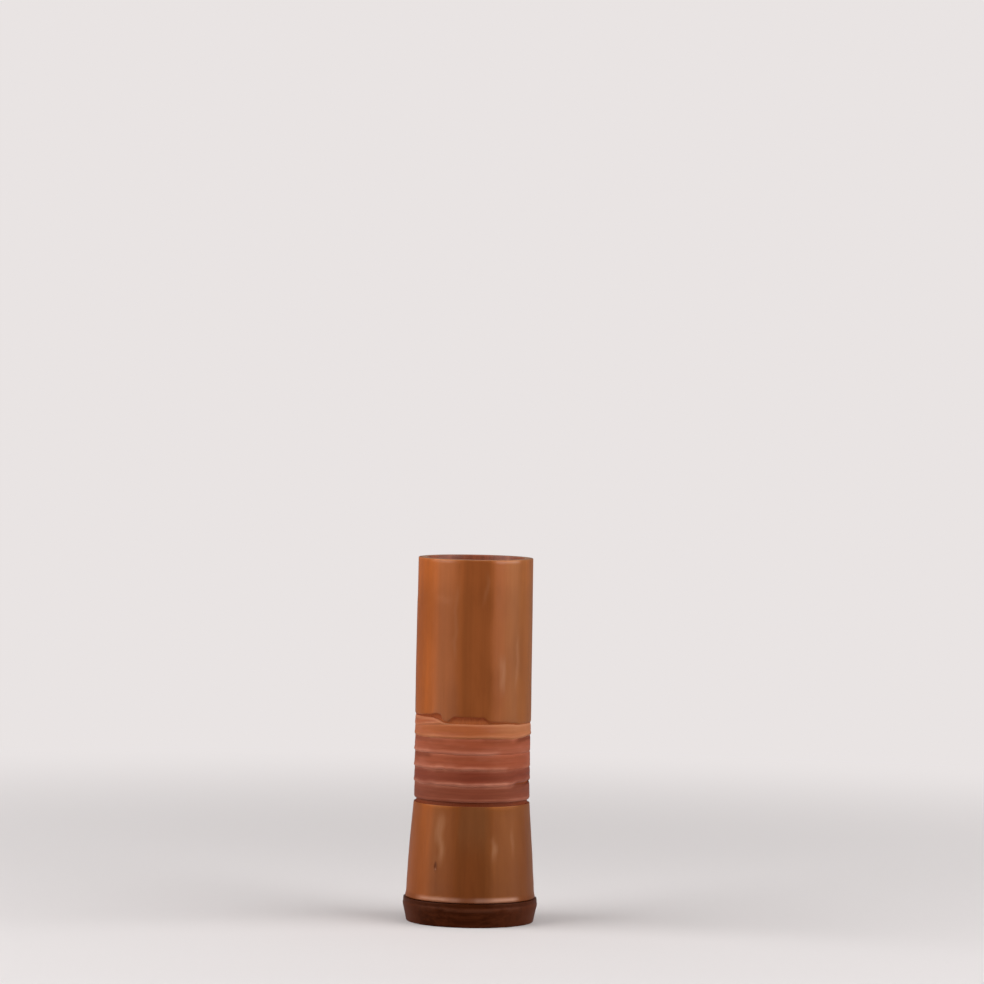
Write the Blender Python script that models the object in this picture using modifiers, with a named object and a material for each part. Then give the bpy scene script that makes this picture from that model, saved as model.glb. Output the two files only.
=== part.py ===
"""Bamboo flower vase with a rattan winding, modelled at its real size.

A lacquered length of bamboo culm holds the stems. It is closed below by its own node wall and
stands on a dark turned base, whose spigot fills the open end under that wall. Halfway up, one
flat rattan strip is wound round a carved groove: each turn runs level across the front, climbs
to the next level behind, and laps the turn below with a joggled lip.

Metres, +Z up. The origin is the centre of the base's underside, and the front faces -Y.
"""

import math

import bmesh
import bpy
import numpy as np
from mathutils import Vector

# The whole vase
OVERALL_HEIGHT = 0.2115
SEAT_GAP = 0.0003

# The culm: the tube above the groove, the neck just under it, and the flare down to the node
TUBE_RADIUS = 0.0337
RIM_TAPER = 0.0004
NECK_RADIUS = 0.0334
NECK_HEIGHT = 0.0562
FLARE_SPREAD = 0.0039
FLARE_EASE = 0.85
FLARE_POINTS = 5
RIDGE_PROUD = 0.00035
RIDGE_CREST = 0.0016
RIDGE_TOP = 0.0042
BORE_WALL = 0.0056
FOOT_WALL = 0.0076
SKIRT_WALL = 0.0068
SKIRT_DEPTH = 0.0038
NODE_WALL = 0.0040
NODE_DISH = 0.0012
NODE_FILLET = 0.0045
RIM_ROUND = 0.0007
RIDGE_ROUND = 0.0012

# The groove carved for the winding
GROOVE_DEPTH = 0.0015
LOWER_MARGIN = 0.0016
UPPER_MARGIN = 0.0035
SHOULDER_SLANT = math.radians(6.0)

# The rattan strip and how it is wound. Angles run from the front towards +X.
TURNS = 5
PITCH = 0.0091
LAST_CLIMB = 0.0079
LAP = 0.0007
STRIP_THICKNESS = 0.0006
STRIP_CROWN = 0.00012
LAP_GAP = 0.00045
LIP_MARGIN = 0.0004
LIP_RAMP = 0.0012
TAIL_WIDTH = 0.0041
CLIMB_START = 90
CLIMB_SPAN = 180
HEAD_ANGLE = 150
TAIL_ANGLE = 327
POINTS_PER_TURN = 36
GAP_SAMPLES = 12

# The turned base
BASE_HEIGHT = 0.0138
LEDGE = 0.0009
BULGE = 0.00055
BULGE_DROP = 0.0034
FOOT_TUCK = 0.0016
SPIGOT_CLEARANCE = 0.0004
FOOT_RING_WIDTH = 0.0068
RECESS_DEPTH = 0.0016
BASE_ROUND = 0.0006

# How finely round shapes are drawn
TURNED_STEPS = 72
ROUND_STEPS = 3
ROUND_LIMIT = 0.45
DISH_SHARES = (0, 0.3, 0.6)
SHARP_ANGLE = math.radians(35)
AXIS_MERGE = 0.00001

# Finishes: name, linear colour, roughness, share of clear lacquer
BAMBOO = ("lacquered_bamboo", (0.360, 0.125, 0.044), 0.32, 0.6)
RATTAN = ("rattan_strip", (0.305, 0.090, 0.042), 0.5, 0.1)
DARK_WOOD = ("dark_lacquered_wood", (0.050, 0.016, 0.009), 0.35, 0.4)

# Heights and radii that pieces share
CULM_FOOT = BASE_HEIGHT + SEAT_GAP
FOOT_RADIUS = NECK_RADIUS + FLARE_SPREAD
SKIRT_RADIUS = FOOT_RADIUS - SKIRT_WALL
NODE_UNDERSIDE = CULM_FOOT + SKIRT_DEPTH
GROOVE_FLOOR = TUBE_RADIUS - GROOVE_DEPTH
GROOVE_BOTTOM = CULM_FOOT + NECK_HEIGHT
BAND_BOTTOM = GROOVE_BOTTOM + LOWER_MARGIN
TAIL_BOTTOM = BAND_BOTTOM + (TURNS - 1) * PITCH + LAST_CLIMB
BAND_TOP = TAIL_BOTTOM + TAIL_WIDTH
GROOVE_TOP = TAIL_BOTTOM + LAP + UPPER_MARGIN


def main():
    """Builds the vase's three pieces in a collection of their own."""
    clear_scene()
    vase = new_collection("bamboo_vase")
    cutters = new_collection("cutters")
    culm = bamboo_culm(vase)
    carve(culm, groove_cutter(cutters))
    rattan_winding(vase)
    turned_base(vase)


def clear_scene():
    """Removes the objects that the scene starts with."""
    for item in list(bpy.data.objects):
        bpy.data.objects.remove(item, do_unlink=True)


def new_collection(name):
    """Returns a new collection in the scene."""
    collection = bpy.data.collections.new(name)
    bpy.context.scene.collection.children.link(collection)
    return collection


def finish_material(name, colour, roughness, lacquer):
    """Returns a Principled material for one of the finishes."""
    material = bpy.data.materials.new(name)
    material.use_nodes = True
    shader = material.node_tree.nodes["Principled BSDF"]
    shader.inputs["Base Color"].default_value = (*colour, 1.0)
    shader.inputs["Roughness"].default_value = roughness
    shader.inputs["Metallic"].default_value = 0.0
    shader.inputs["Coat Weight"].default_value = lacquer
    return material


def bake(item):
    """Applies an object's modifiers to its mesh."""
    graph = bpy.context.evaluated_depsgraph_get()
    mesh = bpy.data.meshes.new_from_object(item.evaluated_get(graph))
    item.modifiers.clear()
    item.data = mesh


def shade(item):
    """Shades an object smooth between its sharp edges, with its flat faces kept flat."""
    item.data.shade_smooth()
    item.data.set_sharp_from_angle(angle=SHARP_ANGLE)
    normals = item.modifiers.new("weighted_normals", "WEIGHTED_NORMAL")
    normals.keep_sharp = True


def rounded_outline(corners):
    """Returns the points of an open outline, with an arc in place of each rounded corner.

    Each corner is (radius from the axis, height, rounding). An arc is limited by the sides it joins.
    """
    points = []
    last = len(corners) - 1
    for index, (radius, height, rounding) in enumerate(corners):
        here = Vector((radius, height))
        if rounding == 0 or index in (0, last):
            points.append(here)
            continue
        back = Vector(corners[index - 1][:2]) - here
        ahead = Vector(corners[index + 1][:2]) - here
        half_angle = back.angle(ahead) / 2
        shorter_side = min(back.length, ahead.length)
        reach = min(rounding / math.tan(half_angle), ROUND_LIMIT * shorter_side)
        inward = (back.normalized() + ahead.normalized()).normalized()
        centre = here + inward * reach / math.cos(half_angle)
        start = here + back.normalized() * reach - centre
        end = here + ahead.normalized() * reach - centre
        start_angle = math.atan2(start.y, start.x)
        sweep = math.atan2(end.y, end.x) - start_angle
        sweep = (sweep + math.pi) % math.tau - math.pi
        for step in range(ROUND_STEPS + 1):
            angle = start_angle + sweep * step / ROUND_STEPS
            points.append(centre + start.length * Vector((math.cos(angle), math.sin(angle))))
    return points


def turned(name, collection, outline, closed=False):
    """Returns an object that a Screw modifier turns from an outline of (radius, height) points."""
    mesh = bpy.data.meshes.new(name)
    edges = [(index, index + 1) for index in range(len(outline) - 1)]
    if closed:
        edges.append((len(outline) - 1, 0))
    mesh.from_pydata([(radius, 0.0, height) for radius, height in outline], edges, [])
    item = bpy.data.objects.new(name, mesh)
    collection.objects.link(item)
    screw = item.modifiers.new("turning", "SCREW")
    screw.axis = "Z"
    screw.angle = math.tau
    screw.steps = TURNED_STEPS
    screw.render_steps = TURNED_STEPS
    screw.use_merge_vertices = True
    screw.merge_threshold = AXIS_MERGE
    screw.use_smooth_shade = True
    return item


def bamboo_culm(collection):
    """Makes the culm, whose bore the dished node wall closes and whose flare ends in the node's ridge."""
    rim_radius = TUBE_RADIUS - RIM_TAPER
    bore_radius = TUBE_RADIUS - BORE_WALL
    floor_radius = FOOT_RADIUS - FOOT_WALL
    floor_height = NODE_UNDERSIDE + NODE_WALL
    ridge_top = CULM_FOOT + RIDGE_TOP
    flare_drop = GROOVE_BOTTOM - ridge_top

    corners = [
        (floor_radius * share, floor_height - NODE_DISH * (1 - share**2), 0)
        for share in DISH_SHARES
    ]
    corners += [
        (floor_radius, floor_height, NODE_FILLET),
        (bore_radius, GROOVE_BOTTOM, 0),
        (bore_radius, OVERALL_HEIGHT, RIM_ROUND),
        (rim_radius, OVERALL_HEIGHT, RIM_ROUND),
        (TUBE_RADIUS, GROOVE_TOP, 0),
        (NECK_RADIUS, GROOVE_BOTTOM, 0),
    ]
    for step in range(1, FLARE_POINTS):
        share = step / FLARE_POINTS
        swell = FLARE_SPREAD * share**FLARE_EASE
        corners.append((NECK_RADIUS + swell, GROOVE_BOTTOM - flare_drop * share, 0))
    corners += [
        (FOOT_RADIUS, ridge_top, RIDGE_ROUND),
        (FOOT_RADIUS + RIDGE_PROUD, CULM_FOOT + RIDGE_CREST, RIDGE_ROUND),
        (FOOT_RADIUS, CULM_FOOT, 0),
        (SKIRT_RADIUS, CULM_FOOT, 0),
        (SKIRT_RADIUS, NODE_UNDERSIDE, RIM_ROUND),
        (0, NODE_UNDERSIDE, 0),
    ]
    culm = turned("bamboo_culm", collection, rounded_outline(corners))
    culm.data.materials.append(finish_material(*BAMBOO))
    return culm


def groove_cutter(collection):
    """Makes the ring that carves the groove. Its top is slanted, as the hand-cut shoulder is."""
    outer_radius = TUBE_RADIUS + GROOVE_DEPTH
    ring = turned(
        "groove_cutter",
        collection,
        [
            (outer_radius, GROOVE_TOP),
            (outer_radius, GROOVE_BOTTOM),
            (GROOVE_FLOOR, GROOVE_BOTTOM),
            (GROOVE_FLOOR, GROOVE_TOP),
        ],
        closed=True,
    )
    bake(ring)
    middle = (GROOVE_TOP + GROOVE_BOTTOM) / 2
    for vertex in ring.data.vertices:
        if vertex.co.z > middle:
            vertex.co.z = shoulder_height(vertex.co.x)
    ring.display_type = "WIRE"
    ring.hide_render = True
    return ring


def carve(item, cutter):
    """Cuts one object out of another and shades what is left."""
    cut = item.modifiers.new("carving", "BOOLEAN")
    cut.operation = "DIFFERENCE"
    cut.object = cutter
    cut.solver = "EXACT"
    bake(item)
    shade(item)


def shoulder_height(x):
    """Returns the height of the groove's upper shoulder, which is lower on the +X side."""
    return GROOVE_TOP - x * math.tan(SHOULDER_SLANT)


def strip_bottom(angle):
    """Returns the height of the strip's lower edge at an angle, in degrees from the front.

    A turn is level over the front and climbs to the next level, in an S, over CLIMB_SPAN behind.
    The last climb, to the tail's level, has a rise of its own.
    """
    turn, into_turn = divmod(angle - CLIMB_START, 360)
    share = min(into_turn / CLIMB_SPAN, 1)
    level = turn + share * share * (3 - 2 * share)
    return BAND_BOTTOM + PITCH * (min(level, TURNS) - 1) + LAST_CLIMB * max(level - TURNS, 0)


def strip_section(angle):
    """Returns the strip's section at an angle as (radius, height) points.

    The strip lies flat on the groove, and a joggled lip at its lower edge laps the turn below. The
    head is trimmed to the groove's lower end and has no turn to lap, so its lip swells out along
    it. The tail is trimmed narrow. The points are corners of a coarse polygon round the culm, so
    the section stands out until that polygon's sides clear the groove.
    """
    lapped = strip_bottom(angle + 360) + LAP
    shoulder = shoulder_height(GROOVE_FLOOR * math.sin(math.radians(angle)))
    lower = max(strip_bottom(angle), BAND_BOTTOM)
    upper = min(lapped, BAND_TOP, shoulder - LAP_GAP)
    swell = min(1, (lapped - BAND_BOTTOM) / (PITCH + LAP)) ** 2

    inner = (GROOVE_FLOOR + SEAT_GAP) / math.cos(math.pi / POINTS_PER_TURN)
    outer = inner + STRIP_THICKNESS
    joggle = (STRIP_THICKNESS + LAP_GAP) * swell
    lip_top = lower + LAP + LIP_MARGIN
    ramp_top = lip_top + LIP_RAMP
    edge_round = STRIP_THICKNESS / 3
    return [
        (inner, upper),
        (inner, ramp_top),
        (inner + joggle, lip_top),
        (inner + joggle, lower),
        (outer + joggle - edge_round, lower),
        (outer + joggle, lower + edge_round),
        (outer + joggle, lip_top + edge_round),
        (outer, ramp_top + edge_round),
        (outer + STRIP_CROWN * swell, (ramp_top + upper + edge_round) / 2),
        (outer, upper - edge_round),
        (outer - edge_round, upper),
    ]


def rattan_winding(collection):
    """Makes the strip as one unbroken loft, from its head low behind to its tail in front."""
    sweep = TURNS * 360 + TAIL_ANGLE - HEAD_ANGLE
    count = round(sweep * POINTS_PER_TURN / 360)
    sections = []
    rings = []
    for index in range(count + 1):
        angle = HEAD_ANGLE + index * 360 / POINTS_PER_TURN
        section = strip_section(angle)
        turn = math.radians(angle)
        sections.append(section)
        rings.append([(r * math.sin(turn), -r * math.cos(turn), z) for r, z in section])
    print(f"rattan winding: least gap to itself {1000 * least_gap(sections):.2f} mm")
    winding = lofted("rattan_winding", collection, rings)
    winding.data.materials.append(finish_material(*RATTAN))
    shade(winding)
    return winding


def lofted(name, collection, rings):
    """Returns an object whose skin joins each ring of points to the next, closed at both ends."""
    shape = bmesh.new()
    loops = [[shape.verts.new(point) for point in ring] for ring in rings]
    for loop, following in zip(loops, loops[1:]):
        for corner in range(len(loop)):
            after = (corner + 1) % len(loop)
            shape.faces.new((loop[corner], loop[after], following[after], following[corner]))
    shape.faces.new(loops[0])
    shape.faces.new(loops[-1])
    bmesh.ops.recalc_face_normals(shape, faces=shape.faces)
    mesh = bpy.data.meshes.new(name)
    shape.to_mesh(mesh)
    shape.free()
    item = bpy.data.objects.new(name, mesh)
    collection.objects.link(item)
    return item


def least_gap(sections):
    """Returns the least distance from the strip to its next turn, on points along both outlines."""
    share = np.arange(GAP_SAMPLES)[:, None, None] / GAP_SAMPLES
    least = math.inf
    for section, above in zip(sections, sections[POINTS_PER_TURN:]):
        dense = []
        for outline in (section, above):
            corner = np.array(outline)
            following = np.roll(corner, -1, axis=0)
            dense.append((corner + share * (following - corner)).reshape(-1, 2))
        between = dense[0][:, None] - dense[1][None, :]
        least = min(least, float(np.linalg.norm(between, axis=2).min()))
    return least


def turned_base(collection):
    """Makes the base: its spigot, the ledge round the culm, a bulge that tapers down, and a recess."""
    spigot_radius = SKIRT_RADIUS - SPIGOT_CLEARANCE
    spigot_top = NODE_UNDERSIDE - SPIGOT_CLEARANCE
    ledge_radius = FOOT_RADIUS + RIDGE_PROUD + LEDGE
    ring_outer = ledge_radius - FOOT_TUCK
    ring_inner = ring_outer - FOOT_RING_WIDTH
    corners = [
        (0, spigot_top, 0),
        (spigot_radius, spigot_top, BASE_ROUND),
        (spigot_radius, BASE_HEIGHT, 0),
        (ledge_radius, BASE_HEIGHT, BASE_ROUND),
        (ledge_radius + BULGE, BASE_HEIGHT - BULGE_DROP, BASE_ROUND),
        (ring_outer, 0, BASE_ROUND),
        (ring_inner, 0, BASE_ROUND),
        (ring_inner - RECESS_DEPTH, RECESS_DEPTH, BASE_ROUND),
        (0, RECESS_DEPTH, 0),
    ]
    base = turned("turned_base", collection, rounded_outline(corners))
    base.data.materials.append(finish_material(*DARK_WOOD))
    bake(base)
    shade(base)
    return base


if __name__ == "__main__":
    main()
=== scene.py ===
"""The looks of a bamboo flower vase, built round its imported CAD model.

Three pieces replace the three CAD nodes: the lacquered culm with its carved groove, the lapped
rattan strip wound in that groove, and the dark turned base. Metres, in the frame of the CAD: +Z
up, the front faces -Y, and angles round the vase run in degrees from the front towards +X.
"""

import logging
import math
from dataclasses import dataclass, field
from enum import Enum
from typing import Any, Callable, Sequence, Union

import bmesh
import bpy
from mathutils import Matrix, Vector, noise


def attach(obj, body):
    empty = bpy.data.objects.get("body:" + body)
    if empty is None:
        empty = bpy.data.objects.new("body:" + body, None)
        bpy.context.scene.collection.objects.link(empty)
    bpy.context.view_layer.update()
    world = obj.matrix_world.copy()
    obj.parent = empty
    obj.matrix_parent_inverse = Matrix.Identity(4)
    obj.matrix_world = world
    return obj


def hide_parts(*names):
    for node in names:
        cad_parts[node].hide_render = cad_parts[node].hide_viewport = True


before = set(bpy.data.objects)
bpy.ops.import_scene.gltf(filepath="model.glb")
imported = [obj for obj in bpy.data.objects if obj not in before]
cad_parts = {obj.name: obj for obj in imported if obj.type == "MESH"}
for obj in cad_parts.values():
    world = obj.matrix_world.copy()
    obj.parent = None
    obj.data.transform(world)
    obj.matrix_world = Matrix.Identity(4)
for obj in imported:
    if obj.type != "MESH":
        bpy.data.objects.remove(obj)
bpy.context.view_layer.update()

MM = 0.001
BODY = "root"
LOG = logging.getLogger("vase")

Colour = tuple[float, float, float]
Zone = tuple[float, float, float, float]
Table = tuple[tuple[float, float], ...]
Test = Callable[[Vector], bool]


class Part(Enum):
    """What a selection is made of: Blender's select mode and the mesh layer that it acts on."""

    VERTS = ("VERT", "verts")
    EDGES = ("EDGE", "edges")
    UPRIGHTS = ("EDGE", "edges", "only those that rise more than they lead in or out")
    FACES = ("FACE", "faces")


class Side(Enum):
    """The lamps at the vase's sides: degrees from the front, height of the middle, and watts."""

    LEFT = (-72.0, 0.95, 27.0)
    RIGHT = (70.0, 0.90, 25.5)


def polar(angle: float, radius: float, height: float) -> Vector:
    """Returns the point at an angle, radius and height round the vase's axis."""
    turn = math.radians(angle)
    return Vector((radius * math.sin(turn), -radius * math.cos(turn), height))


def angle_of(point: Vector) -> float:
    """Returns a point's angle round the axis, from -180 to 180."""
    return math.degrees(math.atan2(point.x, -point.y))


def around(angle: float) -> float:
    """Returns an angle along the winding as one round the vase, from -180 to 180."""
    return (angle + 180) % 360 - 180


def ease(value: float, start: float, end: float) -> float:
    """Returns 0 before start and 1 after end, with a smooth step between them."""
    share = min(max((value - start) / (end - start), 0.0), 1.0)
    return share * share * (3 - 2 * share)


def between(table: Table, place: float) -> float:
    """Returns a value from a table of (place, value) rows, eased between neighbouring rows.

    Args:
        table: Rows in rising order of place.
        place: Where the table is read.

    Returns:
        The value.
    """
    if place <= table[0][0]:
        return table[0][1]
    for (start, first), (end, second) in zip(table, table[1:]):
        if place <= end:
            return first + (second - first) * ease(place, start, end)
    return table[-1][1]


def ripple(place: float, row: float, size: float) -> float:
    """Returns smooth noise from -size to size on one of many lines, changing over a unit."""
    return size * noise.noise(Vector((place, 7.3 * row, 1.7)))


def band(low: float, high: float, inner: float, outer: float) -> Test:
    """Returns a test for the places between two heights and two radii."""
    return lambda place: low < place.z < high and inner < place.xy.length < outer


def take(item: bpy.types.Object) -> None:
    """Selects an object alone and makes it the active one.

    Args:
        item: The object.
    """
    bpy.ops.object.select_all(action="DESELECT")
    item.select_set(True)
    bpy.context.view_layer.objects.active = item


def apply_all(item: bpy.types.Object) -> None:
    """Applies an object's modifiers in order.

    Args:
        item: The object.
    """
    take(item)
    for modifier in list(item.modifiers):
        bpy.ops.object.modifier_apply(modifier=modifier.name)


def smooth(item: bpy.types.Object, degrees: float) -> None:
    """Shades an object smooth, apart from edges sharper than an angle."""
    take(item)
    bpy.ops.object.shade_smooth_by_angle(angle=math.radians(degrees))


class Bench:
    """One mesh object on which Blender's edit-mode operators work, as by hand."""

    def __init__(self, item: bpy.types.Object) -> None:
        """Keeps the object that is worked on."""
        self.item = item

    def __enter__(self) -> "Bench":
        """Enters edit mode on the object alone.

        Returns:
            The bench.
        """
        take(self.item)
        bpy.ops.object.mode_set(mode="EDIT")
        return self

    def __exit__(self, *trouble: Any) -> None:
        """Leaves edit mode."""
        bpy.ops.object.mode_set(mode="OBJECT")

    def pick(self, part: Part, wanted: Test) -> None:
        """Selects the vertices, edges or faces whose middle passes a test, and nothing else.

        Args:
            part: What is selected.
            wanted: The test of a middle.
        """
        mode, layer = part.value[:2]
        bpy.ops.mesh.select_mode(type=mode)
        bpy.ops.mesh.select_all(action="DESELECT")
        shape = bmesh.from_edit_mesh(self.item.data)
        for each in getattr(shape, layer):
            if part is Part.VERTS:
                chosen = wanted(each.co)
            elif part is Part.FACES:
                chosen = wanted(each.calc_center_median())
            else:
                first, second = (vertex.co for vertex in each.verts)
                rises = abs(first.z - second.z) > (first.xy - second.xy).length
                chosen = wanted((first + second) / 2) and (rises or part is Part.EDGES)
            each.select = chosen
        shape.select_flush_mode()
        bmesh.update_edit_mesh(self.item.data, loop_triangles=False, destructive=False)

    def move_each(self, wanted: Test, shift: Callable[[Vector], Vector]) -> None:
        """Moves each vertex that passes a test by a shift of its own.

        Args:
            wanted: The test of a vertex's place.
            shift: Gives the shift from the vertex's place.
        """
        shape = bmesh.from_edit_mesh(self.item.data)
        for vertex in shape.verts:
            if wanted(vertex.co):
                vertex.co += shift(vertex.co)
        bmesh.update_edit_mesh(self.item.data)

    def give_finish(self, slot_index: int, wanted: Test) -> None:
        """Gives the faces that pass a test one of the object's materials.

        Args:
            slot_index: The material's place among the object's materials.
            wanted: The test of a face's middle.
        """
        self.pick(Part.FACES, wanted)
        self.item.active_material_index = slot_index
        bpy.ops.object.material_slot_assign()


@dataclass(frozen=True)
class Corner:
    """A corner of a turned outline, with the radius that rounds it."""

    radius: float
    height: float
    rounding: float = 0.0


class Lathe:
    """Turns outlines into objects, ring by ring, with extrude, resize, merge and bevel."""

    segments = 256
    bevel_segments = 4
    ring_reach = 0.05 * MM
    weld_reach = 0.001 * MM

    def turn(self, name: str, outline: Sequence[Corner]) -> bpy.types.Object:
        """Turns an outline that starts and ends on the axis.

        Args:
            name: The new object's name.
            outline: The corners from the middle of the underside, out and up, to the axis again.

        Returns:
            The object, closed, with its rounded corners bevelled.
        """
        bpy.ops.object.select_all(action="DESELECT")
        start = outline[0]
        bpy.ops.mesh.primitive_circle_add(
            vertices=self.segments,
            radius=start.radius,
            fill_type="TRIFAN",
            location=(0.0, 0.0, start.height),
        )
        item = bpy.context.object
        item.name = item.data.name = name
        bpy.ops.object.transform_apply(location=True, rotation=True, scale=True)
        with Bench(item) as bench:
            bench.pick(Part.VERTS, lambda place: place.xy.length > start.radius / 2)
            for last, following in zip(outline, outline[1:]):
                self._next_ring(last, following)
            bpy.ops.mesh.select_all(action="SELECT")
            bpy.ops.mesh.remove_doubles(threshold=self.weld_reach)
            bpy.ops.mesh.normals_make_consistent(inside=False)
            for corner in outline:
                if corner.rounding:
                    self._round(bench, corner)
        return item

    def _next_ring(self, last: Corner, following: Corner) -> None:
        """Extrudes the selected ring to the next corner, or closes it on the axis.

        Args:
            last: The corner that the ring is at.
            following: The corner that it goes to.
        """
        rise = (0.0, 0.0, following.height - last.height)
        bpy.ops.mesh.extrude_region_move(TRANSFORM_OT_translate={"value": rise})
        if following.radius == 0:
            bpy.ops.mesh.merge(type="CENTER")
            return
        share = following.radius / last.radius
        bpy.ops.transform.resize(
            value=(share, share, 1.0), center_override=(0.0, 0.0, following.height)
        )

    def _round(self, bench: Bench, corner: Corner) -> None:
        """Bevels the ring of edges at a corner.

        Args:
            bench: The object, in edit mode.
            corner: The corner that is rounded.
        """
        height, reach = corner.height, self.ring_reach
        radius = corner.radius * math.cos(math.pi / self.segments)
        ring = band(height - reach, height + reach, radius - reach, radius + reach)
        bench.pick(Part.EDGES, ring)
        bpy.ops.mesh.bevel(
            offset=corner.rounding, segments=self.bevel_segments, profile=0.5, affect="EDGES"
        )


@dataclass(frozen=True)
class Swell:
    """A slow unevenness of a surface, as a cloud texture pushes it in and out."""

    reach: float
    size: float
    stretch: float
    depth: int

    def push(self, item: bpy.types.Object, group: str) -> None:
        """Pushes a vertex group of an object in and out along its normals.

        Args:
            item: The object.
            group: The vertex group's name.
        """
        bpy.ops.object.select_all(action="DESELECT")
        bpy.ops.object.empty_add(location=(0.0, 0.0, 0.0))
        guide = bpy.context.object
        guide.scale = (1.0, 1.0, self.stretch)
        clouds = bpy.data.textures.new(f"{item.name}_swell", "CLOUDS")
        clouds.noise_scale = self.size
        clouds.noise_depth = self.depth
        bpy.context.view_layer.update()
        push = item.modifiers.new("swell", "DISPLACE")
        push.texture = clouds
        push.texture_coords = "OBJECT"
        push.texture_coords_object = guide
        push.vertex_group = group
        push.strength = self.reach
        push.mid_level = 0.5
        apply_all(item)
        bpy.data.objects.remove(guide)


Operand = Union["Wire", float]
Paint = Union["Wire", Colour]
Sockets = dict[Union[str, int], Any]


class Wire:
    """A shader value that Python expressions join to others through Math nodes."""

    def __init__(self, graph: "Graph", socket: bpy.types.NodeSocket) -> None:
        """Keeps the socket and the node graph that it is in."""
        self.graph = graph
        self.socket = socket

    def __add__(self, other: Operand) -> "Wire":
        """Adds a value."""
        return self.graph.maths("ADD", self, other)

    __radd__ = __add__

    def __sub__(self, other: Operand) -> "Wire":
        """Takes a value away."""
        return self.graph.maths("SUBTRACT", self, other)

    def __rsub__(self, other: Operand) -> "Wire":
        """Is taken away from a value."""
        return self.graph.maths("SUBTRACT", other, self)

    def __mul__(self, other: Operand) -> "Wire":
        """Multiplies by a value."""
        return self.graph.maths("MULTIPLY", self, other)

    __rmul__ = __mul__

    def __truediv__(self, other: Operand) -> "Wire":
        """Divides by a value."""
        return self.graph.maths("DIVIDE", self, other)

    def clamped(self) -> "Wire":
        """Keeps the value from 0 to 1."""
        return self.graph.maths("ADD", self, 0.0, use_clamp=True)

    def step(self, start: float, end: float) -> "Wire":
        """Gives 0 before start and 1 after end, with a smooth step between them.

        Args:
            start: Where the step leaves 0. It may be above the end, for a falling value.
            end: Where it reaches 1.

        Returns:
            The step.
        """
        low, high = sorted((start, end))
        sockets = {"Value": self, "From Min": low, "From Max": high}
        stepped = self.graph.node(
            "ShaderNodeMapRange", "Result", sockets, interpolation_type="SMOOTHSTEP"
        )
        return stepped if start < end else 1.0 - stepped

    def within(self, zone: Zone) -> "Wire":
        """Gives 1 between a zone's middle two values, falling smoothly to 0 at its ends."""
        return self.step(*zone[:2]) * self.step(*zone[2:])

    def bump(self, centre: float, reach: float) -> "Wire":
        """Gives 1 at a centre, falling smoothly to 0 at a reach either side."""
        return self.graph.maths("ABSOLUTE", self - centre).step(reach, 0.0)


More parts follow.
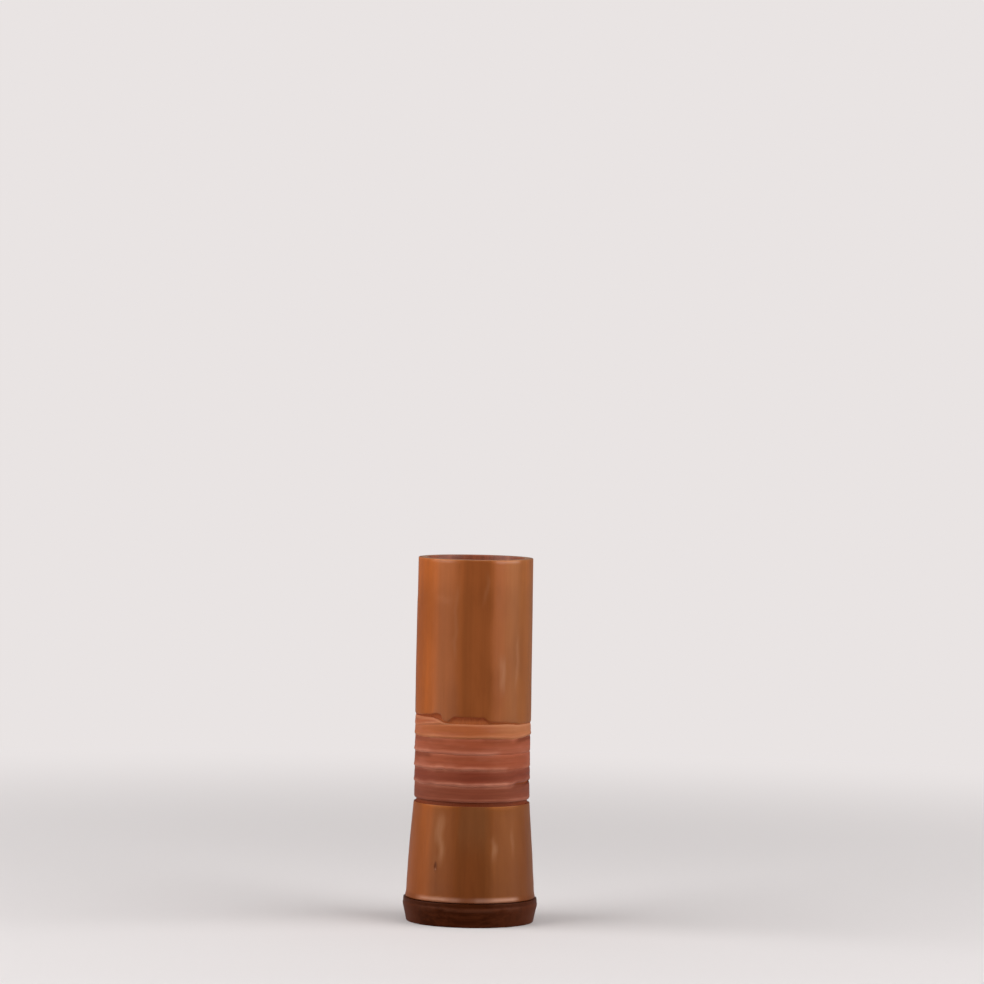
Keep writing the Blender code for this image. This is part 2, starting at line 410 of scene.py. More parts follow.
class Graph:
    """The nodes of one material or world, with the shader that it starts with."""

    def __init__(self, owner: Union[bpy.types.Material, bpy.types.World]) -> None:
        """Gives a new material or world its nodes.

        Args:
            owner: The material or world.
        """
        owner.use_nodes = True
        self.owner = owner
        self.nodes, self.links = owner.node_tree.nodes, owner.node_tree.links
        end = next(node for node in self.nodes if "Surface" in node.inputs)
        self.surface = end.inputs["Surface"]
        self.shader = self.surface.links[0].from_node

    def node(
        self, kind: str, output: Union[str, int], sockets: Sockets, **settings: Any
    ) -> Wire:
        """Adds a node.

        Args:
            kind: The node's type.
            output: The name or number of the output that is used.
            sockets: Its input sockets' values or wires, by name or number.
            **settings: Its settings, which are set before its sockets, and "stops", a ramp's stops.

        Returns:
            The output.
        """
        node = self.nodes.new(kind)
        for name, value in settings.items():
            if name == "stops":
                self._set_stops(node.color_ramp, value)
            else:
                setattr(node, name, value)
        self.feed(node, sockets)
        return Wire(self, node.outputs[output])

    def _set_stops(self, ramp: bpy.types.ColorRamp, stops: Sequence[tuple[float, Colour]]) -> None:
        """Gives a colour ramp its stops.

        Args:
            ramp: The ramp.
            stops: Each stop's place and colour.
        """
        while len(ramp.elements) < len(stops):
            ramp.elements.new(0.5)
        for element, (place, colour) in zip(ramp.elements, stops):
            element.position = place
            element.color = (*colour, 1.0)

    def feed(self, node: bpy.types.Node, sockets: Sockets) -> None:
        """Sets or links a node's input sockets.

        Args:
            node: The node.
            sockets: Values or wires, by the socket's name or number.
        """
        for name, value in sockets.items():
            socket = node.inputs[name]
            if isinstance(value, Wire):
                self.links.new(value.socket, socket)
            elif socket.type == "RGBA":
                socket.default_value = (*value, 1.0)
            else:
                socket.default_value = value

    def maths(self, operation: str, *values: Operand, use_clamp: bool = False) -> Wire:
        """Joins values by a Math node's operation, which may keep the result from 0 to 1."""
        sockets = dict(enumerate(values))
        return self.node("ShaderNodeMath", 0, sockets, operation=operation, use_clamp=use_clamp)

    def place(self, kind: str = "Object") -> Wire:
        """Returns the shaded point in the object's own coordinates, or in its UV map."""
        return self.node("ShaderNodeTexCoord", kind, {})

    def own_value(self, name: str) -> Wire:
        """Returns a value that the piece's points carry in an attribute."""
        return self.node("ShaderNodeAttribute", "Fac", {}, attribute_name=name)

    def seen(self) -> Wire:
        """Returns 1 where the camera sees the surface itself, and 0 for other rays."""
        return self.node("ShaderNodeLightPath", "Is Camera Ray", {})

    def parts(self, vector: Wire) -> tuple[Wire, Wire, Wire]:
        """Splits a vector into its three values."""
        split = self.node("ShaderNodeSeparateXYZ", 0, {0: vector}).socket.node
        return tuple(Wire(self, output) for output in split.outputs)

    def scaled(self, vector: Wire, *scale: float) -> Wire:
        """Scales a vector along its three axes."""
        return self.node("ShaderNodeMapping", 0, {"Vector": vector, "Scale": scale})

    def noise(self, vector: Wire, pitch: float, detail: float = 2.0, rough: float = 0.5) -> Wire:
        """Returns noise about 0.5, whose features are a pitch apart, with octaves of detail."""
        sockets = {"Vector": vector, "Scale": 1 / pitch, "Detail": detail, "Roughness": rough}
        return self.node("ShaderNodeTexNoise", 0, sockets)

    def cells(self, vector: Wire, pitch: float, uneven: float) -> Wire:
        """Returns the distance, in cells, to the middle of the nearest of many uneven cells."""
        sockets = {"Vector": vector, "Scale": 1 / pitch, "Randomness": uneven}
        return self.node("ShaderNodeTexVoronoi", "Distance", sockets)

    def ramp(self, value: Wire, stops: Sequence[tuple[float, Colour]]) -> Wire:
        """Turns a value from 0 to 1 into a colour, by each stop's place and colour."""
        return self.node("ShaderNodeValToRGB", "Color", {0: value}, stops=stops)

    def mix(self, share: Operand, first: Paint, second: Paint) -> Wire:
        """Mixes a share of the second colour into the first."""
        return self.node("ShaderNodeMix", 2, {0: share, 6: first, 7: second}, data_type="RGBA")

    def layered(self, colour: Paint, *coats: tuple[Wire, Paint]) -> Wire:
        """Lays tones over a colour, one after the other.

        Args:
            colour: The colour underneath.
            *coats: Each tone's share, and the tone.

        Returns:
            The colour on top.
        """
        for share, tone in coats:
            colour = self.mix(share, colour, tone)
        return colour

    def shade(self, colour: Wire, amount: Wire) -> Wire:
        """Makes a colour lighter or darker by an amount that it is multiplied by."""
        sockets = {0: colour, "Scale": amount}
        return self.node("ShaderNodeVectorMath", 0, sockets, operation="SCALE")

    def reach(self, x: Wire, y: Wire) -> Wire:
        """Returns the distance from the vase's axis."""
        return self.maths("SQRT", x * x + y * y)

    def relief(self, height: Wire, distance: float, strength: float) -> Wire:
        """Returns the normal that a height from 0 to 1 bends, where 1 stands a distance high."""
        sockets = {"Strength": strength, "Distance": distance, "Height": height}
        return self.node("ShaderNodeBump", 0, sockets)

    def finish(self, sockets: Sockets) -> Union[bpy.types.Material, bpy.types.World]:
        """Sets or links the first shader's sockets, and returns the material or world."""
        self.feed(self.shader, sockets)
        return self.owner

    def show(self, share: Wire, first: Wire, second: Wire) -> None:
        """Shows one shader, or by a share another."""
        mixed = self.node("ShaderNodeMixShader", 0, {0: share, 1: first, 2: second})
        self.links.new(mixed.socket, self.surface)


@dataclass(frozen=True)
class Glint:
    """An upright line of light on the lacquer: its angle, reach to either side, ends and share."""

    angle: float
    reach: float
    low: float
    high: float
    share: float


@dataclass(frozen=True)
class BambooSkin:
    """The culm's lacquered outside: upright fibres, slow mottling, worn rim edges, painted light.

    A painted shade darkens its foot and a stripe down its front, and a painted light lifts its top.
    The node ridge has a painted highlight at the front and painted shade at its sides. Sides are
    zones in degrees from the front, and levels are heights in metres.
    """

    crown: Colour = (0.352, 0.098, 0.0260)
    # painted shade: darker than the crown, as the light falls off downwards
    foot: Colour = (0.226, 0.064, 0.0170)
    ruddy: Colour = (0.470, 0.110, 0.0150)
    olive: Colour = (0.310, 0.108, 0.030)
    moss: Colour = (0.130, 0.050, 0.010)
    tawny: Colour = (0.240, 0.094, 0.036)
    deep: Colour = (0.150, 0.032, 0.007)
    worn: Colour = (0.600, 0.290, 0.150)
    # painted highlight along the node ridge at the front
    ridge_highlight: Colour = (0.560, 0.320, 0.245)
    glint: Colour = (0.560, 0.305, 0.165)
    scar: Colour = (0.085, 0.016, 0.005)
    sheen: Colour = (1.000, 0.360, 0.100)
    roughness: float = 0.36
    lacquer: float = 0.6
    lacquer_roughness: float = 0.20
    lacquer_ior: float = 1.55
    fibre_pitch: float = 0.7 * MM
    strand_pitch: float = 0.7 * MM / 0.22
    fleck_pitch: float = 1.1 * MM
    broad_pitch: float = 11 * MM
    mottle: float = 14 * MM
    sway_pitch: float = 15 * MM
    upright: float = 0.02
    ruddy_side: Zone = (-118, -74, -34, -44)
    olive_side: Zone = (24, 42, 150, 100)
    # the front stripe, darkened by painted shade
    front_side: Zone = (-14, -9, 20, 13)
    left_satin: Zone = (-52, -40, -11, -21)
    right_satin: Zone = (13, 23, 54, 44)
    # the front angles where the node ridge carries its painted highlight; outside them it takes
    # painted shade
    facing_side: Zone = (-62, -46, 52, 40)
    bare_levels: Zone = (0.036, 0.058, 0.078, 0.070)
    glint_fade: float = 11 * MM
    scar_stretch: float = 0.36
    scar_edge: float = 1.60 * MM
    scar_core: float = 0.45 * MM
    glints: tuple[Glint, ...] = (
        Glint(46.0, 3.6, 0.134, 0.172, 0.26),
        Glint(28.0, 6.0, 0.131, 0.160, 0.42),
        Glint(21.8, 3.4, 0.035, 0.055, 0.44),
        Glint(44.0, 3.4, 0.038, 0.060, 0.22),
        Glint(-30.0, 5.6, 0.032, 0.069, 0.36),
        Glint(-19.0, 4.0, 0.150, 0.200, 0.14),
        Glint(9.0, 3.6, 0.182, 0.208, 0.14),
    )

    def material(
        self, scar_place: Vector, ridge: float, neck: float, rim: float
    ) -> bpy.types.Material:
        """Makes the material.

        Args:
            scar_place: The middle of the dark scar.
            ridge: Height of the node ridge's crest.
            neck: Height of the neck's top, under the winding.
            rim: Height of the rim.

        Returns:
            The material.
        """
        graph = Graph(bpy.data.materials.new("lacquered_bamboo_skin"))
        place = graph.place()
        x, y, z = graph.parts(place)
        along = graph.scaled(place, 1.0, 1.0, self.upright)
        broad = graph.noise(along, self.broad_pitch)
        fibres = graph.noise(along, self.fibre_pitch, 3.0, 0.65)
        strands = graph.noise(along, self.strand_pitch)
        patches = graph.noise(graph.scaled(place, 1.0, 1.0, 0.35), self.mottle, 3.0, 0.55)
        flecks = graph.noise(graph.scaled(place, 1.0, 1.0, 0.12), self.fleck_pitch, 2.0, 0.6)

        turn = graph.maths("ARCTAN2", x, 0.0 - y) * (180 / math.pi)
        turn = turn + (strands - 0.5) * 5 + (patches - 0.5) * 9
        high = z.step(0.050, 0.140)
        front = turn.within(self.front_side)
        colour = graph.layered(
            # painted shade: the colour darkens from the crown down to the foot, and more below 50
            # mm
            self.foot,
            (z.step(0.045, 0.135), self.crown),
            (z.step(0.050, 0.012) * 0.30, self.deep),
            (turn.within(self.ruddy_side) * (0.52 + 0.48 * high) * 0.75, self.ruddy),
            (turn.within(self.olive_side) * (0.05 + 0.95 * high) * 0.70, self.olive),
            (turn.step(6, 22) * (1.0 - high) * 0.20, self.moss),
            (front * z.within(self.bare_levels) * 0.5, self.tawny),
        )
        # painted light: the colour is up to 17 % lighter in the top 24 mm, as lit from above
        colour = graph.shade(colour, 1.0 + 0.17 * z.step(rim - 24 * MM, rim - 8 * MM))
        colour = graph.mix(patches.step(0.62, 0.30) * 0.25, colour, self.deep)
        # painted shade: the front stripe is 14 % darker, standing in for the dark room mirrored
        # there
        streaks_and_front_shade = 0.61 + 0.18 * fibres + 0.28 * strands + 0.36 * broad - 0.14 * front
        colour = graph.shade(colour, streaks_and_front_shade)

        facing = turn.within(self.facing_side) * (1.0 - 0.75 * turn.bump(-3, 15))
        low = z.step(ridge + 3.5 * MM, ridge + 1.0 * MM)
        # painted highlight: a pale line along the node ridge at the front, weaker on the left,
        # where the ridge would mirror the side lamps
        lighter_edges = z.bump(ridge + 0.9 * MM, 2.3 * MM) * facing * (0.32 + 0.16 * broad)
        edge = z.step(rim - 1.0 * MM, rim - 0.2 * MM) * (0.06 + 0.24 * strands)
        colour = graph.layered(
            colour,
            (flecks.step(0.68, 0.80) * 0.25, self.deep),
            # painted shade: around the node ridge the colour darkens towards the left and right,
            # away from the front
            (low * (1.0 - facing) * 0.45, self.deep),
            (lighter_edges * (1.0 - 0.25 * turn.step(-12, -24)), self.ridge_highlight),
            (edge, self.worn),
            *self._lines(graph, place, turn, flecks),
            (self._scar_share(graph, place, scar_place, fibres), self.scar),
        )
        right = turn.within(self.right_satin) * (0.75 + 0.25 * z.step(0.128, 0.144))
        satin = turn.within(self.left_satin) + right
        coat = (0.50 + 0.50 * high) * (1.0 - z.bump(neck, 6 * MM)) * z.step(rim, rim - 1.2 * MM)
        coat = coat * (0.14 + 1.2 * satin) * z.step(ridge + 1.0 * MM, ridge + 3.5 * MM)
        return graph.finish(
            {
                "Base Color": colour,
                "Roughness": self.roughness + (strands - 0.5) * 0.12,
                "Specular IOR Level": 1.0,
                "Specular Tint": self.sheen,
                "Coat Weight": self.lacquer * (coat + low * facing * 0.6),
                "Coat Roughness": self.lacquer_roughness,
                "Coat IOR": self.lacquer_ior,
                "Normal": graph.relief(fibres * 0.5 + strands * 0.5, 0.04 * MM, 0.8),
            }
        )

    def _lines(
        self, graph: Graph, place: Wire, turn: Wire, flecks: Wire
    ) -> list[tuple[Wire, Colour]]:
        """Makes the glints, which sway a little on their way up.

        Args:
            graph: The material's nodes.
            place: The shaded point.
            turn: Its angle from the front.
            flecks: The fine flecks that break the glints up.

        Returns:
            Each glint's share and colour.
        """
        _, _, z = graph.parts(place)
        sway = graph.noise(graph.scaled(place, 0.3, 0.3, 1.0), self.sway_pitch, 1.0, 0.5)
        swung = turn + (sway - 0.5) * 11
        fade = self.glint_fade
        lines = []
        for glint in self.glints:
            ends = (glint.low, glint.low + fade, glint.high, glint.high - fade)
            line = swung.bump(glint.angle, glint.reach) * z.within(ends)
            lines.append((line * (0.35 + 0.65 * flecks) * glint.share, self.glint))
        return lines

    def _scar_share(self, graph: Graph, place: Wire, scar_place: Vector, fibres: Wire) -> Wire:
        """Makes the share of the dark scar, longer than it is wide.

        Args:
            graph: The material's nodes.
            place: The shaded point.
            scar_place: The scar's middle.
            fibres: The fibres that fray its edge.

        Returns:
            The share.
        """
        away = graph.node(
            "ShaderNodeVectorMath",
            "Value",
            {
                0: graph.scaled(place, 1.0, 1.0, self.scar_stretch),
                1: (scar_place.x, scar_place.y, scar_place.z * self.scar_stretch),
            },
            operation="DISTANCE",
        )
        gap = away + (fibres - 0.5) * 0.8 * MM
        return gap.step(self.scar_edge, self.scar_core) * 0.72


@dataclass(frozen=True)
class CutBamboo:
    """The culm's sawn rim, with the dark ends of its fibre bundles, denser near the skin."""

    pale: Colour = (0.400, 0.190, 0.090)
    brown: Colour = (0.250, 0.085, 0.034)
    bundle: Colour = (0.110, 0.034, 0.014)
    roughness: float = 0.48
    lacquer: float = 0.12
    lacquer_roughness: float = 0.3
    coarse_pitch: float = 0.95 * MM
    fine_pitch: float = 0.5 * MM
    grain_pitch: float = 2.5 * MM

    def material(self, inner: float, outer: float) -> bpy.types.Material:
        """Makes the material.

        Args:
            inner: The rim's inner radius.
            outer: The rim's outer radius.

        Returns:
            The material.
        """
        graph = Graph(bpy.data.materials.new("lacquered_bamboo_cut"))
        place = graph.place()
        x, y, _ = graph.parts(place)
        reach = (graph.reach(x, y) - inner) / (outer - inner)
        flat = graph.scaled(place, 1.0, 1.0, 0.05)
        coarse = graph.cells(flat, self.coarse_pitch, 0.8).step(0.36, 0.20)
        fine = graph.cells(flat, self.fine_pitch, 0.9).step(0.42, 0.24)
        dots = coarse * reach.step(0.70, 0.35) + fine * reach.step(0.45, 0.80)
        grain = graph.noise(flat, self.grain_pitch, 3.0, 0.6)
        colour = graph.layered(
            self.pale,
            (reach.step(0.3, 1.0) * 0.7 + grain * 0.3, self.brown),
            ((dots * 0.8).clamped(), self.bundle),
        )
        return graph.finish(
            {
                "Base Color": colour,
                "Roughness": self.roughness,
                "Coat Weight": self.lacquer,
                "Coat Roughness": self.lacquer_roughness,
                "Normal": graph.relief(dots.clamped() + grain * 0.4, 0.05 * MM, 0.7),
            }
        )


@dataclass(frozen=True)
class BambooBore:
    """The culm's inside: dark lacquer over the wrinkled skin that lines a culm."""

    wall: Colour = (0.330, 0.080, 0.030)
    dark: Colour = (0.230, 0.052, 0.018)
    pale: Colour = (0.380, 0.130, 0.055)
    roughness: float = 0.55
    lacquer: float = 0.2
    lacquer_roughness: float = 0.35
    fibre_pitch: float = 0.9 * MM
    flake_pitch: float = 5 * MM
    wrinkle_pitch: float = 1.6 * MM

    def material(self, floor: float) -> bpy.types.Material:
        """Makes the material.

        Args:
            floor: Height of the node wall's upper side.

        Returns:
            The material.
        """
        graph = Graph(bpy.data.materials.new("lacquered_bamboo_bore"))
        place = graph.place()
        _, _, z = graph.parts(place)
        fibres = graph.noise(graph.scaled(place, 1.0, 1.0, 0.04), self.fibre_pitch, 3.0, 0.6)
        flakes = graph.noise(graph.scaled(place, 1.0, 1.0, 0.25), self.flake_pitch, 4.0, 0.7)
        wrinkles = graph.noise(graph.scaled(place, 1.0, 1.0, 0.5), self.wrinkle_pitch, 3.0, 0.6)
        colour = graph.layered(
            self.dark,
            (flakes.step(0.35, 0.65), self.wall),
            (flakes.step(0.60, 0.74) * 0.5, self.pale),
            (z.step(floor + 6 * MM, floor) * 0.35, self.pale),
        )
        return graph.finish(
            {
                "Base Color": graph.shade(colour, 0.7 + 0.6 * fibres),
                "Roughness": self.roughness,
                "Coat Weight": self.lacquer,
                "Coat Roughness": self.lacquer_roughness,
                "Normal": graph.relief(fibres * 0.6 + wrinkles * 0.8, 0.08 * MM, 0.8),
            }
        )


@dataclass(frozen=True)
class GrooveWood:
    """The bared wood of the carved groove: torn upright fibres, painted shadow and painted light.

    The shadow is painted along its foot, under the winding, and the light just under its shoulder.
    """

    wood: Colour = (0.420, 0.094, 0.022)
    dark: Colour = (0.300, 0.060, 0.013)
    shadow: Colour = (0.165, 0.024, 0.004)
    # painted light just under the groove's shoulder
    pale: Colour = (0.640, 0.210, 0.060)
    roughness: float = 0.60
    fibre_pitch: float = 0.6 * MM

    def material(self, bottom: float, top: float) -> bpy.types.Material:
        """Makes the material.

        Args:
            bottom: Height of the groove's lower end.
            top: Height of its upper end.

        Returns:
            The material.
        """
        graph = Graph(bpy.data.materials.new("lacquered_bamboo_groove"))
        place = graph.place()
        _, _, z = graph.parts(place)
        fibres = graph.noise(graph.scaled(place, 1.0, 1.0, 0.05), self.fibre_pitch, 4.0, 0.7)
        colour = graph.layered(
            self.dark,
            (fibres.step(0.30, 0.70), self.wood),
            (z.step(bottom + 5 * MM, bottom + 2 * MM) * 0.7, self.shadow),
            # painted light: lighter just under the shoulder, where the groove lies in shade
            (z.bump(top - 3.2 * MM, 3.0 * MM) * 0.38, self.pale),
        )
        return graph.finish(
            {
                "Base Color": colour,
                "Roughness": self.roughness,
                "Specular IOR Level": 0.25,
                "Normal": graph.relief(fibres, 0.12 * MM, 0.9),
            }
        )


@dataclass(frozen=True)
class RattanSplit:
    """The split rattan: fibres along the strip, maroon at the foot and orange-brown at the top.

    The darkening towards the foot is partly the strip's own tone and partly painted shade. Its
    light and dark values paint light on the lips and the bare top edge and shadows under the lips,
    and a painted light lifts the band's front middle.
    """

    # from the foot up; the darkening towards the foot is partly the strip's tone, partly painted
    # shade
    tones: tuple[Colour, ...] = (
        (0.230, 0.056, 0.029),
        (0.218, 0.045, 0.023),
        (0.335, 0.079, 0.036),
        (0.350, 0.083, 0.037),
        (0.430, 0.118, 0.040),
        (0.440, 0.118, 0.046),
    )
    # recess paints the shadow under each lip; edge and edge_high paint the light on the lips
    recess: Colour = (0.150, 0.026, 0.008)
    edge: Colour = (0.620, 0.240, 0.155)
    edge_high: Colour = (0.610, 0.250, 0.120)
    gold: Colour = (0.510, 0.200, 0.086)
    bloom: Colour = (0.500, 0.160, 0.095)
    sheen: Colour = (1.000, 0.450, 0.250)
    roughness: float = 0.45
    fibre_pitch: float = 0.32 * MM
    band_pitch: float = 1.8 * MM
    patch_pitch: float = 9 * MM
    blush_pitch: float = 5 * MM
    tone_spread: float = 0.22

    def material(self, lap_length: float) -> bpy.types.Material:
        """Makes the material, which reads how light and dark the strip's edges are from it.

        Args:
            lap_length: The strip's length round one turn.

        Returns:
            The material.
        """
        graph = Graph(bpy.data.materials.new("rattan_strip_fibres"))
        strip = graph.place("UV")
        along, _, _ = graph.parts(strip)
        x, _, z = graph.parts(graph.place())
        fibres = graph.noise(graph.scaled(strip, 0.015, 1.0, 1.0), self.fibre_pitch, 3.0, 0.6)
        bands = graph.noise(graph.scaled(strip, 0.04, 1.0, 1.0), self.band_pitch)
        patches = graph.noise(graph.scaled(strip, 0.5, 1.0, 1.0), self.patch_pitch, 3.0, 0.6)
        blush = graph.noise(graph.scaled(strip, 0.3, 1.0, 1.0), self.blush_pitch)

        count = len(self.tones) + 1
        turn = (along / lap_length + (patches - 0.5) * 0.10) / count
        stops = [
            ((number + side) / count, tone)
            for number, tone in enumerate(self.tones, start=1)
            for side in (-self.tone_spread, self.tone_spread)
        ]
        # painted light: the band's front middle is up to 7 % lighter
        middle = x.bump(-2 * MM, 18 * MM)
        colour = graph.ramp(turn.clamped(), stops)
        colour = graph.shade(colour, 0.55 + 0.45 * fibres + 0.50 * bands + 0.07 * middle)
        light, dark = (graph.own_value(name) for name in ("light", "dark"))
        # the painted light on the lips is up to 22 % weaker on the left
        light = light * (1.0 - 0.22 * x.step(-4 * MM, -18 * MM))
        bloom = turn.step(2.3 / count, 2.7 / count) * 0.22 + 0.05
        rim = graph.mix(turn.step(4.2 / count, 4.7 / count), self.edge, self.edge_high)
        colour = graph.layered(
            colour,
            (blush.step(0.46, 0.70) * bloom, self.bloom),
            (x.step(2 * MM, 26 * MM) * z.step(0.108, 0.113) * (0.3 + 0.7 * bands), self.gold),
            # painted shadow under each lip, then painted light on, just below and along the lips
            # and bare top edge
            ((dark * (0.4 + 0.7 * bands)).clamped(), self.recess),
            ((light * (0.20 + 0.54 * bands)).clamped(), rim),
        )
        return graph.finish(
            {
                "Base Color": colour,
                "Roughness": self.roughness + (bands - 0.5) * 0.2,
                "Specular IOR Level": 0.35,
                "Specular Tint": self.sheen,
                "Normal": graph.relief(fibres * 0.5 + bands * 0.6, 0.12 * MM, 0.8),
            }
        )


@dataclass(frozen=True)
class DarkTurnedWood:
    """The base's dark stained wood: straight grain, fine turning lines, painted light and shade.

    Its left and right sides carry a painted sheen, lighter on the right, its top band under the
    culm a painted shadow, its bulge a painted highlight at the front, and its bottom edge lighter
    patches at the front.
    """

    stain: Colour = (0.040, 0.0074, 0.0014)
    grain: Colour = (0.084, 0.0190, 0.0058)
    # painted sheen on the left and right sides, and more on the right
    side_sheen: Colour = (0.124, 0.0310, 0.0120)
    # paints the bulge's highlight and the lighter patches along the bottom edge, both at the front
    worn: Colour = (0.130, 0.044, 0.023)
    sheen: Colour = (1.000, 0.400, 0.220)
    roughness: float = 0.42
    lacquer: float = 0.03
    lacquer_roughness: float = 0.25
    ring_pitch: float = 2.4 * MM
    pore_pitch: float = 0.35 * MM
    cloud_pitch: float = 12 * MM
    line_pitch: float = 0.11 * MM

    def material(self, ledge: float) -> bpy.types.Material:
        """Makes the material.

        Args:
            ledge: Height of the base's upper edge.

        Returns:
            The material.
        """
        graph = Graph(bpy.data.materials.new("dark_lacquered_wood_grain"))
        place = graph.place()
        x, y, z = graph.parts(place)
        rings = graph.noise(graph.scaled(place, 0.06, 1.0, 1.0), self.ring_pitch, 4.0, 0.65)
        pores = graph.noise(graph.scaled(place, 0.04, 1.0, 1.0), self.pore_pitch, 2.0, 0.6)
        clouds = graph.noise(place, self.cloud_pitch)
        reach = graph.reach(x, y)
        lines = graph.maths("SINE", (z + reach * 0.5) / self.line_pitch) * 0.5 + 0.5
        side = (x * x) / (reach * reach)
        # painted highlight along the bulge at the front, and lighter patches along the bottom edge
        # at the front
        bulge_highlight = z.bump(ledge - 3.7 * MM, 1.9 * MM) * clouds.step(0.32, 0.56)
        lighter_bottom_edge = z.step(1.2 * MM, 0.1 * MM) * clouds.step(0.45, 0.6)
        lighter_edges = (bulge_highlight + lighter_bottom_edge) * side.step(0.75, 0.30)
        colour = graph.layered(
            self.stain,
            # the grain fades towards the left and right sides, under a painted sheen that is
            # lighter still on the right
            (rings.step(0.34, 0.70) * (1.0 - 0.6 * side), self.grain),
            (side.step(0.45, 0.95) * 0.65, self.side_sheen),
            (x.step(8 * MM, 20 * MM) * 0.30, self.side_sheen),
            (pores.step(0.62, 0.75) * 0.5, self.stain),
            # painted shadow: the top band under the culm's foot is darker
            (z.step(ledge - 3.0 * MM, ledge - 1.4 * MM) * 0.5, self.stain),
            # the worn colour paints the bulge's highlight and lightens the bottom edge
            ((lighter_edges * 0.5).clamped(), self.worn),
        )
        return graph.finish(
            {
                "Base Color": colour,
                "Roughness": self.roughness + (clouds - 0.5) * 0.16,
                "Specular IOR Level": 0.12,
                "Specular Tint": self.sheen,
                "Coat Weight": self.lacquer,
                "Coat Roughness": self.lacquer_roughness,
                "Normal": graph.relief(lines * 0.25 + pores * 0.4 + rings * 0.3, 0.03 * MM, 0.8),
            }
        )


@dataclass
class Culm:
    """The bamboo culm: tube, carved groove, flared foot, bore and node wall.

    The flare's rows are (height, radius) and the groove's shoulder's are (degrees, height), in mm.
    """

    height: float = 211.5 * MM
    tube_radius: float = 33.7 * MM
    rim_radius: float = 33.3 * MM
    bore_radius: float = 28.1 * MM
    neck_radius: float = 33.6 * MM
    groove_radius: float = 32.2 * MM
    groove_bottom: float = 69.5 * MM
    groove_top: float = 120.4 * MM
    foot_height: float = 14.1 * MM
    ridge_height: float = 14.9 * MM
    skirt_radius: float = 30.5 * MM
    node_underside: float = 17.9 * MM
    floor_radius: float = 29.7 * MM
    floor_height: float = 21.9 * MM
    floor_fillet: float = 4.0 * MM
    dish: float = 1.2 * MM
    rim_rounding: float = 0.5 * MM
    mouth_rounding: float = 0.6 * MM
    scar_angle: float = -33.7
    scar_radius: float = 36.4 * MM
    scar_height: float = 34.7 * MM
    scar_width: float = 1.3 * MM
    scar_length: float = 4.8 * MM
    scar_depth: float = 0.30 * MM
    flare: Table = (
        (14.15, 37.46), (14.35, 37.64), (14.7, 37.71), (15.2, 37.66), (15.8, 37.54), (16.5, 37.39),
        (17.3, 37.26), (18.4, 37.17), (20.4, 37.08), (24.0, 36.92), (29.0, 36.62), (36.0, 36.20),
        (44.0, 35.62), (52.0, 34.98), (58.0, 34.52), (63.0, 34.12), (67.0, 33.86), (69.0, 33.72),
    )
    shoulder: Table = (
        (-180, 120.3), (-140, 121.3), (-95, 120.9), (-80, 120.5), (-64, 120.8), (-50, 121.6),
        (-38, 122.5), (-34, 121.9), (-31, 118.6), (-28, 118.0), (-25, 118.1), (-22, 119.8),
        (-19, 121.0), (10, 120.9), (17, 118.5), (30, 118.1), (42, 117.5), (54, 116.7),
        (90, 116.6), (140, 118.4), (180, 120.3),
    )
    skin: BambooSkin = field(default_factory=BambooSkin)
    cut: CutBamboo = field(default_factory=CutBamboo)
    bore: BambooBore = field(default_factory=BambooBore)
    groove: GrooveWood = field(default_factory=GrooveWood)

    def shoulder_height(self, angle: float) -> float:
        """Returns the height of the groove's hand-cut upper shoulder at an angle."""
        return between(self.shoulder, angle) * MM

    def scar_middle(self) -> Vector:
        """Returns the middle of the scar."""
        return polar(self.scar_angle, self.scar_radius, self.scar_height)

    def outline(self) -> list[Corner]:
        """Makes the culm's outline.

        Returns:
            The corners, from under the node wall, up outside and down the bore.
        """
        return [
            Corner(self.skirt_radius, self.node_underside),
            Corner(self.skirt_radius, self.foot_height),
            *(Corner(radius * MM, height * MM) for height, radius in self.flare),
            Corner(self.neck_radius, self.groove_bottom, 0.12 * MM),
            Corner(self.groove_radius, self.groove_bottom),
            Corner(self.groove_radius, self.groove_top - 7.5 * MM),
            Corner(self.groove_radius + 0.05 * MM, self.groove_top - 2.6 * MM),
            Corner(self.groove_radius + 0.30 * MM, self.groove_top - 1.0 * MM),
            Corner(self.tube_radius - 0.50 * MM, self.groove_top - 0.3 * MM, 0.2 * MM),
            Corner(self.tube_radius, self.groove_top + 0.45 * MM, 0.4 * MM),
            Corner(self.rim_radius, self.height, self.rim_rounding),
            Corner(self.bore_radius, self.height, self.mouth_rounding),
            Corner(self.bore_radius, self.groove_bottom),
            Corner(self.floor_radius, self.floor_height, self.floor_fillet),
            *(
                Corner(self.floor_radius * share, self.floor_height - self.dish * (1 - share**2))
                for share in (0.8, 0.6, 0.4, 0.2, 0.0)
            ),
        ]

    def build(self) -> bpy.types.Object:
        """Builds the culm and dresses it.

        Returns:
            The piece.
        """
        item = Lathe().turn("vase_culm", self.outline())
        low, high = self.groove_top - 2.8 * MM, self.groove_top + 2.8 * MM
        with Bench(item) as bench:
            bench.move_each(
                band(low, high, self.groove_radius - 1 * MM, math.inf), self._shoulder_shift
            )
            self._divide(bench)
            self._sink_scar(bench)
        self._uneven(item)
        self._dress(item)
        return item

    def _shoulder_shift(self, place: Vector) -> Vector:
        """Returns how a point at the groove's top moves to make the uneven shoulder.

        Args:
            place: The point on the level shoulder.

        Returns:
            Its shift: up or down, and outwards where the strip leaves the groove's top bare.
        """
        angle = angle_of(place)
        rise = self.shoulder_height(angle) - self.groove_top
        bare = ease(angle, -150, -110) * (1 - ease(angle, 6, 16))
        depth = self.tube_radius - 0.55 * MM - place.xy.length
        return polar(angle, 0.4 * bare * max(depth, 0.0), rise)

